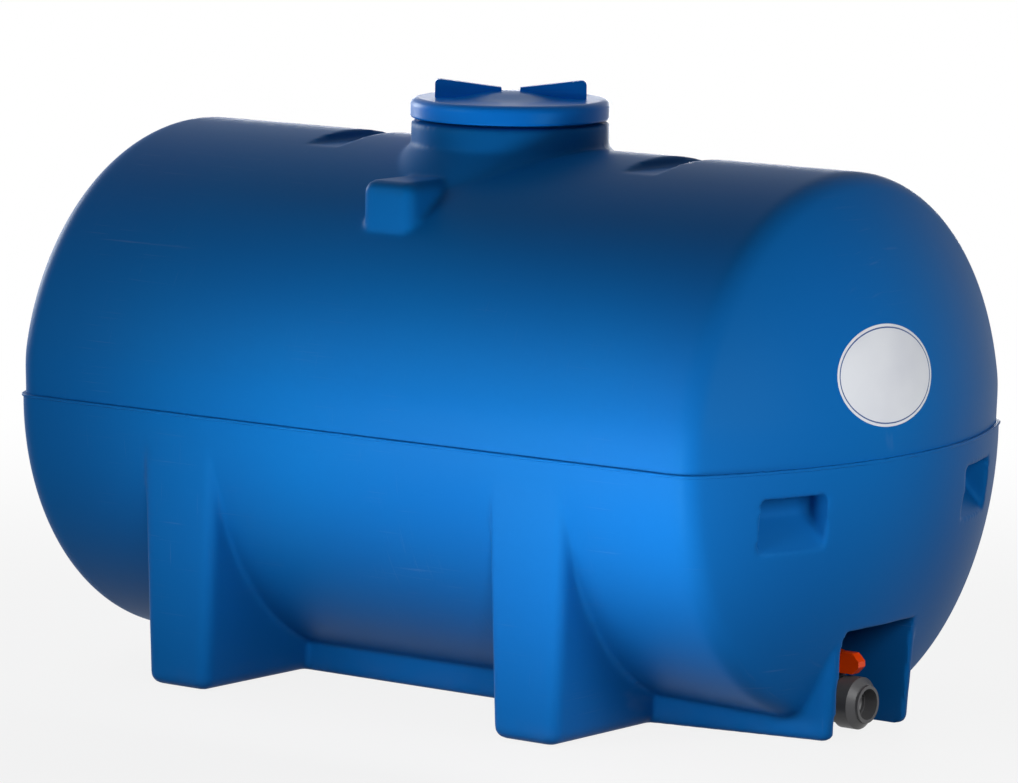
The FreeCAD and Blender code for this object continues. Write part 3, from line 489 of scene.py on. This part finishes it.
def tank_stretches(outside, inside):
    """The skin in six stretches, parted at the mould's line and in front of and behind the neck."""
    whole = tank_skin()
    seam = (0, 0, AXIS_HEIGHT)
    upper = copy_of(whole, "upper_half")
    cut_away(upper, seam, (0, 0, -1))
    cut_away(upper, (0, 0, SPIGOT_TOP), (0, 0, 1))
    draw_in_at_seam(upper)
    cut_away(whole, seam, (0, 0, 1))
    ahead = (STRETCH_CUT, 0, 0)
    behind = (-STRETCH_CUT, 0, 0)
    cuts = {
        "front": ((ahead, (-1, 0, 0)),),
        "middle": ((ahead, (1, 0, 0)), (behind, (-1, 0, 0))),
        "rear": ((behind, (1, 0, 0)),),
    }
    stretches = []
    for half, word in ((upper, "upper"), (whole, "lower")):
        for stretch, planes in cuts.items():
            piece = copy_of(half, f"tank_{word}_{stretch}")
            for place, direction in planes:
                cut_away(piece, place, direction)
            stretches.append(walled(piece, outside, inside))
    remove([upper, whole])
    return stretches


def parting_ridge():
    """The raised line of the mould's parting, a rounded lip all round the tank."""
    piece = barrel("parting_ridge", RIDGE_PROUD)
    for side in (1, -1):
        cut_away(piece, (0, 0, AXIS_HEIGHT + side * RIDGE_HALF), (0, 0, side), fill=True)
    edit(piece)
    pick_faces(piece, lambda middle, normal: abs(normal.z) > LEVEL)
    bpy.ops.mesh.inset(thickness=WALL + RIDGE_PROUD - RIDGE_OVERLAP)
    bpy.ops.mesh.bridge_edge_loops()
    pick_edges(piece, on_ridge_edge)
    bevel(RIDGE_CORNER, CORNER_STEPS)
    close_edit()
    return smooth(piece)


def on_ridge_edge(a, b):
    """Whether an edge runs along the ridge's upper or lower outer edge."""
    level = close(abs(a.z - AXIS_HEIGHT), RIDGE_HALF) and close(a.z, b.z)
    return level and all(outside_at_seam(end) for end in (a, b))


def outside_at_seam(point):
    """Whether a point near the seam lies on the ridge's outer side, and not on its inner one."""
    along = abs(point.x)
    if along <= HALF_STRAIGHT:
        return abs(point.y) > BARREL_RADIUS
    from_dish = math.hypot(along - DISH_CENTRE, point.y) - DISH_RADIUS
    from_knuckle = math.hypot(along - HALF_STRAIGHT, abs(point.y) - DISH_RISE) - KNUCKLE_RADIUS
    return (from_dish if abs(point.y) < DISH_RADIUS * math.sin(DISH_ANGLE) else from_knuckle) > 0


# The plain label on the front

LABEL_SIDE = -0.060
LABEL_HEIGHT = 0.667
LABEL_HALF_WIDTH = 0.135
LABEL_HALF_HEIGHT = 0.091
LABEL_BORDER = 0.005
LABEL_LINE = 0.0025
LABEL_SIDES = 128
LABEL_RINGS = 8
LABEL_FIELD = 0.91
LABEL_LIFT = 0.0004
LABEL_SHEET = 0.0003


def in_label_field(place, normal):
    """Whether a face lies inside the label's line."""
    aside = (place.y - LABEL_SIDE) / LABEL_HALF_WIDTH
    above = (place.z - LABEL_HEIGHT) / LABEL_HALF_HEIGHT
    return math.hypot(aside, above) < LABEL_FIELD


def blank_label(skin, sheet, line):
    """A plain oval sticker with one line round its edge, which follows the dish."""
    nothing_selected()
    middle = (END_REACH + BEYOND, LABEL_SIDE, LABEL_HEIGHT)
    bpy.ops.mesh.primitive_circle_add(vertices=LABEL_SIDES, radius=1, fill_type="NGON",
                                      location=middle, rotation=(0, QUARTER_TURN, 0))
    piece = named("blank_label")
    dress(piece, sheet)
    piece.data.materials.append(line)
    edit(piece)
    bpy.ops.mesh.select_all(action="SELECT")
    bpy.ops.transform.resize(value=(1, LABEL_HALF_WIDTH, LABEL_HALF_HEIGHT), center_override=middle)
    for width, slot in ((LABEL_BORDER, 1), (LABEL_LINE, 0)):
        bpy.ops.mesh.inset(thickness=width)
        piece.active_material_index = slot
        bpy.ops.object.material_slot_assign()
    for ring in range(LABEL_RINGS, 1, -1):
        bpy.ops.mesh.extrude_region_move()
        share = (ring - 1) / ring
        bpy.ops.transform.resize(value=(1, share, share), center_override=middle)
    bpy.ops.mesh.poke()
    pick_faces(piece, in_label_field)
    bpy.ops.object.material_slot_assign()
    close_edit()
    finish_modifier(piece, "SHRINKWRAP", target=skin, wrap_method="PROJECT", use_project_x=True,
                    use_negative_direction=True, use_positive_direction=False, offset=LABEL_LIFT)
    finish_modifier(piece, "SOLIDIFY", thickness=LABEL_SHEET, offset=-1)
    return smooth(piece)


# Camera, light and backdrop

CAMERA_PLACE = (7.00968, -9.09996, 2.10968)
CAMERA_RIGHT = (0.79128764, 0.61130877, 0.01286322)
CAMERA_UP = (-0.09249043, 0.09887271, 0.99079246)
CAMERA_BACK = (0.6044083, -0.78519155, 0.13477696)
CAMERA_LENS = 217.3
SENSOR_WIDTH = 36
FARTHEST_SEEN = 100


def photo_camera():
    """The camera as fitted to the photograph."""
    data = bpy.data.cameras.new("photo_camera")
    data.lens = CAMERA_LENS
    data.sensor_width = SENSOR_WIDTH
    data.clip_end = FARTHEST_SEEN
    camera = bpy.data.objects.new("photo_camera", data)
    turn = Matrix((CAMERA_RIGHT, CAMERA_UP, CAMERA_BACK)).transposed().to_4x4()
    camera.matrix_world = Matrix.Translation(CAMERA_PLACE) @ turn
    bpy.context.scene.collection.objects.link(camera)
    bpy.context.scene.camera = camera


def softbox(name, place, aim, size, power):
    """A soft rectangular studio lamp that faces a point."""
    data = bpy.data.lights.new(name, "AREA")
    data.shape = "RECTANGLE"
    data.size, data.size_y = size
    data.energy = power
    lamp = bpy.data.objects.new(name, data)
    lamp.location = place
    lamp.rotation_euler = (Vector(place) - Vector(aim)).to_track_quat("Z", "Y").to_euler()
    lamp.visible_camera = False
    bpy.context.scene.collection.objects.link(lamp)


def seen_directly(nodes, links):
    """One where a ray comes from the camera, or through gloss or glass, and nothing elsewhere."""
    ray = nodes.new("ShaderNodeLightPath")
    total = ray.outputs["Is Camera Ray"]
    for kind in ("Is Glossy Ray", "Is Transmission Ray"):
        add = nodes.new("ShaderNodeMath")
        add.operation = "MAXIMUM"
        links.new(total, add.inputs[0])
        links.new(ray.outputs[kind], add.inputs[1])
        total = add.outputs[0]
    return total


FLOOR_SIZE = 80
FLOOR_DROP = 0.002
FLOOR_SHADE = 0.25
FLOOR_ROUGHNESS = 0.8
NEAR_WHITENESS = 0.86
NEAR_REACH = 1.2
FAR_REACH = 4.0
SURROUND_STRENGTH = 0.07

# Each soft lamp's place, the point it faces, its two sides and its power
LAMPS = {
    "low_side_light": ((0.22, -1.02, 0.42), (0.22, -0.45, 0.60), (1.2, 0.14), 7),
    "knuckle_light": ((0.78, -0.92, 0.36), (0.77, -0.45, 0.41), (0.10, 0.34), 2.6),
    "upper_side_light": ((-2.5, -5.0, 2.6), (0, 0, 0.6), (2.5, 2.0), 75),
    "front_light": ((1.75, -0.40, 0.74), (0.9, -0.15, 0.62), (0.7, 0.5), 9),
    "left_side_light": ((-2.5, 3.9, 0.8), (0, 0, 0.5), (2.6, 1.2), 120),
    "rear_end_light": ((-4.5, 0.6, 1.5), (-0.8, 0, 0.5), (1.8, 1.6), 80),
    "top_light": ((0, 0, 4.5), (0, 0, 0.5), (3.0, 2.0), 6),
}


def studio_floor():
    """A pale floor that shows as white away from the object and keeps its shadow."""
    nothing_selected()
    bpy.ops.mesh.primitive_plane_add(size=FLOOR_SIZE, location=(0, 0, -FLOOR_DROP))
    floor = bpy.context.object
    floor.name = "studio_floor"
    material = bpy.data.materials.new("studio_floor")
    material.use_nodes = True
    nodes, links = material.node_tree.nodes, material.node_tree.links
    shader = nodes["Principled BSDF"]
    shader.inputs["Base Color"].default_value = (FLOOR_SHADE, FLOOR_SHADE, FLOOR_SHADE, 1)
    shader.inputs["Roughness"].default_value = FLOOR_ROUGHNESS
    place = nodes.new("ShaderNodeTexCoord")
    distance = nodes.new("ShaderNodeVectorMath")
    distance.operation = "LENGTH"
    links.new(place.outputs["Object"], distance.inputs[0])
    whiteness = nodes.new("ShaderNodeMapRange")
    whiteness.interpolation_type = "SMOOTHSTEP"
    whiteness.inputs["From Min"].default_value = NEAR_REACH
    whiteness.inputs["From Max"].default_value = FAR_REACH
    whiteness.inputs["To Min"].default_value = NEAR_WHITENESS
    whiteness.inputs["To Max"].default_value = 1.0
    links.new(distance.outputs["Value"], whiteness.inputs["Value"])
    share = nodes.new("ShaderNodeMath")
    share.operation = "MULTIPLY"
    links.new(whiteness.outputs["Result"], share.inputs[0])
    links.new(seen_directly(nodes, links), share.inputs[1])
    white = nodes.new("ShaderNodeEmission")
    mix = nodes.new("ShaderNodeMixShader")
    links.new(share.outputs[0], mix.inputs[0])
    links.new(shader.outputs[0], mix.inputs[1])
    links.new(white.outputs[0], mix.inputs[2])
    links.new(mix.outputs[0], nodes["Material Output"].inputs["Surface"])
    floor.data.materials.append(material)


def studio_surround():
    """A dim even surround, which shows as white."""
    world = bpy.data.worlds.new("studio_surround")
    bpy.context.scene.world = world
    world.use_nodes = True
    nodes, links = world.node_tree.nodes, world.node_tree.links
    surround = nodes["Background"]
    surround.inputs["Color"].default_value = (1, 1, 1, 1)
    surround.inputs["Strength"].default_value = SURROUND_STRENGTH
    white = nodes.new("ShaderNodeBackground")
    white.inputs["Color"].default_value = (1, 1, 1, 1)
    mix = nodes.new("ShaderNodeMixShader")
    links.new(seen_directly(nodes, links), mix.inputs[0])
    links.new(surround.outputs[0], mix.inputs[1])
    links.new(white.outputs[0], mix.inputs[2])
    links.new(mix.outputs[0], nodes["World Output"].inputs["Surface"])


def studio():
    """The floor, the surround and the lamps."""
    studio_floor()
    studio_surround()
    for name, (place, aim, size, power) in LAMPS.items():
        softbox(name, place, aim, size, power)


# Finishes: how coarse their patterns are, between which limits these show, and how strongly

WAVES_PER_METRE = 14.0
DRIFT_LIMITS = (0.35, 0.65)
SCRATCHES_LYING = (3.0, 3.0, 160.0)
SCRATCHES_UPRIGHT = (170.0, 5.0, 5.0)
SCRATCH_SCALE = 2.0
LYING_LIMITS = (0.64, 0.74)
UPRIGHT_LIMITS = (0.66, 0.76)
RUBS_PER_METRE = 3.1
RUB_LIMITS = (0.52, 0.72)
RUB_SHARE = 0.75
RUB_PALENESS = 0.12
RUB_ROUGHNESS = 0.35
DUST_PER_METRE = 18.0
DUST_LIMITS = (0.35, 0.7)
DUST_TOP = 0.05
DUST_SHADE = (0.16, 0.15, 0.13, 1.0)
DUST_ROUGHNESS = 0.5
BUMP_STRENGTH = 0.6


def new_group(name, inputs, output, kind):
    """An empty shader node group with its sockets, a vector first."""
    tree = bpy.data.node_groups.new(name, "ShaderNodeTree")
    tree.interface.new_socket("Vector", in_out="INPUT", socket_type="NodeSocketVector")
    for socket, value in inputs.items():
        shade = isinstance(value, tuple)
        item = tree.interface.new_socket(socket, in_out="INPUT",
                                         socket_type="NodeSocketColor" if shade else "NodeSocketFloat")
        item.default_value = value
    tree.interface.new_socket(output, in_out="OUTPUT", socket_type=kind)
    return tree, tree.nodes.new("NodeGroupInput"), tree.nodes.new("NodeGroupOutput")


def plug(tree, socket, item):
    """Links a socket, or sets it to a plain value."""
    if isinstance(item, (int, float, tuple)):
        socket.default_value = item
    else:
        tree.links.new(item, socket)


def noise(tree, vector, scale, detail=3.0, roughness=0.5):
    """A noise pattern's value."""
    node = tree.nodes.new("ShaderNodeTexNoise")
    plug(tree, node.inputs["Vector"], vector)
    plug(tree, node.inputs["Scale"], scale)
    plug(tree, node.inputs["Detail"], detail)
    plug(tree, node.inputs["Roughness"], roughness)
    return node.outputs["Fac"]


def math_of(tree, kind, first, second):
    """A Math node of the given kind on two sockets or numbers."""
    node = tree.nodes.new("ShaderNodeMath")
    node.operation = kind
    plug(tree, node.inputs[0], first)
    plug(tree, node.inputs[1], second)
    return node.outputs[0]


def spread(tree, value, low, high, to_low=0.0, to_high=1.0):
    """Stretches a value between two limits."""
    node = tree.nodes.new("ShaderNodeMapRange")
    plug(tree, node.inputs["Value"], value)
    plug(tree, node.inputs["From Min"], low)
    plug(tree, node.inputs["From Max"], high)
    plug(tree, node.inputs["To Min"], to_low)
    plug(tree, node.inputs["To Max"], to_high)
    return node.outputs["Result"]


def stretched(tree, vector, scale):
    """A vector stretched by its own factor in each direction."""
    node = tree.nodes.new("ShaderNodeMapping")
    plug(tree, node.inputs["Vector"], vector)
    plug(tree, node.inputs["Scale"], scale)
    return node.outputs["Vector"]


def mixed(tree, factor, first, second):
    """A colour mix; each colour is a socket or a plain colour."""
    node = tree.nodes.new("ShaderNodeMix")
    node.data_type = "RGBA"
    plug(tree, node.inputs["Factor"], factor)
    plug(tree, [socket for socket in node.inputs if socket.name == "A" and socket.type == "RGBA"][0], first)
    plug(tree, [socket for socket in node.inputs if socket.name == "B" and socket.type == "RGBA"][0], second)
    return [socket for socket in node.outputs if socket.type == "RGBA"][0]


def moulding_grain_group():
    """The fine orange peel and the slow waviness of a moulded surface, as a height."""
    tree, start, end = new_group("moulding_grain", {"Grains per metre": 300.0, "Waviness": 0.5},
                                 "Height", "NodeSocketFloat")
    fine = noise(tree, start.outputs["Vector"], start.outputs["Grains per metre"], 2.0)
    slow = noise(tree, start.outputs["Vector"], WAVES_PER_METRE, 1.0)
    waves = math_of(tree, "MULTIPLY", slow, start.outputs["Waviness"])
    tree.links.new(math_of(tree, "ADD", fine, waves), end.inputs["Height"])
    return tree


def pigment_drift_group():
    """The slow drift of a pigment over a moulding, between two shades."""
    tree, start, end = new_group("pigment_drift", {
        "First Shade": (0.0, 0.0, 0.0, 1.0), "Second Shade": (1.0, 1.0, 1.0, 1.0), "Drifts per metre": 1.0},
        "Color", "NodeSocketColor")
    drift = noise(tree, start.outputs["Vector"], start.outputs["Drifts per metre"], 2.0)
    color = mixed(tree, spread(tree, drift, *DRIFT_LIMITS), start.outputs["First Shade"],
                  start.outputs["Second Shade"])
    tree.links.new(color, end.inputs["Color"])
    return tree


def handling_marks_group():
    """Faint rubbed patches with fine scratches in them, from straps, hands and stacking."""
    tree, start, end = new_group("handling_marks", {"Amount": 0.5}, "Mask", "NodeSocketFloat")
    vector = start.outputs["Vector"]
    lying = noise(tree, stretched(tree, vector, SCRATCHES_LYING), SCRATCH_SCALE, 2.0)
    upright = noise(tree, stretched(tree, vector, SCRATCHES_UPRIGHT), SCRATCH_SCALE, 2.0)
    lying_lines = spread(tree, lying, *LYING_LIMITS)
    upright_lines = spread(tree, upright, *UPRIGHT_LIMITS)
    lines = math_of(tree, "MAXIMUM", lying_lines, upright_lines)
    patches = spread(tree, noise(tree, vector, RUBS_PER_METRE), *RUB_LIMITS)
    marks = math_of(tree, "MULTIPLY", lines, patches)
    tree.links.new(math_of(tree, "MULTIPLY", marks, start.outputs["Amount"]), end.inputs["Mask"])
    return tree


def ground_dust_group():
    """Dust that clings in patches up to a height over the ground."""
    tree, start, end = new_group("ground_dust", {"Top": 0.06, "Amount": 0.5}, "Mask", "NodeSocketFloat")
    split = tree.nodes.new("ShaderNodeSeparateXYZ")
    tree.links.new(start.outputs["Vector"], split.inputs[0])
    height = math_of(tree, "DIVIDE", split.outputs["Z"], start.outputs["Top"])
    low = spread(tree, height, 0.0, 1.0, 1.0, 0.0)
    patches = spread(tree, noise(tree, start.outputs["Vector"], DUST_PER_METRE, 4.0, 0.6), *DUST_LIMITS)
    mask = math_of(tree, "MULTIPLY", low, patches)
    tree.links.new(math_of(tree, "MULTIPLY", mask, start.outputs["Amount"]), end.inputs["Mask"])
    return tree


GRAIN = moulding_grain_group()
DRIFT = pigment_drift_group()
MARKS = handling_marks_group()
DUST = ground_dust_group()


def grouped(tree, group, vector, **values):
    """Places a node group in a material, sets its inputs and gives its output."""
    node = tree.nodes.new("ShaderNodeGroup")
    node.node_tree = group
    tree.links.new(vector, node.inputs["Vector"])
    for name, value in values.items():
        node.inputs[name.replace("_", " ")].default_value = value
    return node.outputs[0]


def moulded_plastic(name, shades, roughness, specular, tint=(1, 1, 1), drifts=1.2, grains=300.0, waviness=0.5,
                    depth=0.0002, marks=0.5, dust=0.0):
    """A moulded plastic with drifting pigment, moulding grain, handling marks and dust near the ground."""
    material = bpy.data.materials.new(name)
    material.use_nodes = True
    tree = material.node_tree
    shader = tree.nodes["Principled BSDF"]
    shader.inputs["Specular IOR Level"].default_value = specular
    shader.inputs["Specular Tint"].default_value = (*tint, 1)
    vector = tree.nodes.new("ShaderNodeTexCoord").outputs["Object"]
    drift = grouped(tree, DRIFT, vector, First_Shade=(*shades[0], 1), Second_Shade=(*shades[1], 1),
                    Drifts_per_metre=drifts)
    rubbed = grouped(tree, MARKS, vector, Amount=marks)
    dusty = grouped(tree, DUST, vector, Top=DUST_TOP, Amount=dust)
    pale = tuple(RUB_SHARE * shade + RUB_PALENESS for shade in shades[0])
    color = mixed(tree, rubbed, drift, (*pale, 1.0))
    color = mixed(tree, dusty, color, DUST_SHADE)
    tree.links.new(color, shader.inputs["Base Color"])
    worn = math_of(tree, "MULTIPLY", rubbed, RUB_ROUGHNESS)
    dull = math_of(tree, "MULTIPLY", dusty, DUST_ROUGHNESS)
    rough = math_of(tree, "ADD", math_of(tree, "ADD", worn, dull), roughness)
    tree.links.new(rough, shader.inputs["Roughness"])
    bump = tree.nodes.new("ShaderNodeBump")
    bump.inputs["Strength"].default_value = BUMP_STRENGTH
    bump.inputs["Distance"].default_value = depth
    height = grouped(tree, GRAIN, vector, Grains_per_metre=grains, Waviness=waviness)
    tree.links.new(height, bump.inputs["Height"])
    tree.links.new(bump.outputs["Normal"], shader.inputs["Normal"])
    return material


def dress(piece, material):
    """Gives a piece one material in place of what it had."""
    piece.data.materials.clear()
    piece.data.materials.append(material)


# The scene

bpy.context.scene.view_settings.view_transform = "Standard"
photo_camera()
studio()

PE_TINT = (0.25, 0.85, 1.0)
tank_blue = moulded_plastic("tank_polyethylene", ((0.003, 0.110, 0.355), (0.004, 0.098, 0.335)), 0.44, 0.05,
                            PE_TINT, depth=0.00015, marks=0.25, dust=0.06)
tank_inside = moulded_plastic("tank_inside", ((0.003, 0.090, 0.320), (0.004, 0.080, 0.300)), 0.6, 0.1,
                              PE_TINT, grains=160.0, depth=0.0006, marks=0.0)
lid_blue = moulded_plastic("lid_polyethylene", ((0.003, 0.180, 0.680), (0.004, 0.168, 0.640)), 0.32, 0.12,
                           PE_TINT, grains=500.0, depth=0.00008, marks=0.3)
valve_grey = moulded_plastic("valve_grey", ((0.085, 0.085, 0.090), (0.100, 0.100, 0.104)), 0.42, 0.4,
                             grains=900.0, depth=0.00006, drifts=12.0, marks=0.4, dust=0.2)
orange = moulded_plastic("handle_plastic", ((0.90, 0.065, 0.0), (0.86, 0.060, 0.0)), 0.36, 0.4,
                         (1.0, 0.7, 0.5), grains=900.0, depth=0.00006, drifts=12.0, marks=0.4)
rubber = moulded_plastic("seal_rubber", ((0.015, 0.015, 0.015), (0.022, 0.022, 0.022)), 0.7, 0.3,
                         grains=1200.0, depth=0.00008, drifts=20.0, marks=0.0)
inner = moulded_plastic("valve_inner", ((0.45, 0.45, 0.46), (0.50, 0.50, 0.51)), 0.22, 0.5,
                        grains=900.0, depth=0.00003, drifts=15.0, marks=0.2)
label_sheet = moulded_plastic("label_sheet", ((0.62, 0.64, 0.68), (0.56, 0.58, 0.63)), 0.35, 0.5,
                              grains=1500.0, depth=0.00002, drifts=8.0, marks=0.2)
label_line = moulded_plastic("label_line", ((0.012, 0.055, 0.19), (0.014, 0.060, 0.20)), 0.35, 0.5,
                             grains=1500.0, depth=0.00002, drifts=8.0, marks=0.2)

# The finish of each solid that isn't part of the moulded skin
FINISHES = {
    "screw_lid": lid_blue, "lid_skirt": lid_blue,
    "lid_seal": rubber, "fitting_seal": rubber,
    "valve_handle": orange,
    "valve_ball": inner, "valve_stem": inner, "ball_seat_front": inner, "ball_seat_rear": inner,
    "union_nut_front": valve_grey, "union_nut_rear": valve_grey,
    "union_end_front": valve_grey, "union_end_rear": valve_grey,
    "valve_body": valve_grey, "tank_fitting": valve_grey, "fitting_back_nut": valve_grey,
}
for name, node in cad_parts.items():
    dress(node, FINISHES.get(name, tank_blue))

# The solids that each stretch of the skin stands for
STANDS_FOR = {
    "tank_upper_front": ("strap_channel_front", "crown_panel_front", "front_end_upper"),
    "tank_upper_middle": ("filler_neck", "neck_spigot", "fitting_seat_left", "fitting_seat_right",
                          "shoulder_panel_left", "shoulder_panel_right"),
    "tank_upper_rear": ("strap_channel_rear", "crown_panel_rear", "rear_end_upper"),
    "tank_lower_front": ("foot_front_left", "foot_front_right", "outlet_bay", "front_grip_left",
                         "front_grip_right", "front_end_lower"),
    "tank_lower_middle": ("sump", "belly_panel_left", "belly_panel_right"),
    "tank_lower_rear": ("foot_rear_left", "foot_rear_right", "rear_grip_left", "rear_grip_right",
                        "rear_end_lower"),
}

stretches = tank_stretches(tank_blue, tank_inside)
for piece in stretches:
    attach(piece, "tank")
    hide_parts(*STANDS_FOR[piece.name])

ridge = parting_ridge()
dress(ridge, tank_blue)
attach(ridge, "tank")

label = blank_label(stretches[0], label_sheet, label_line)
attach(label, "tank")
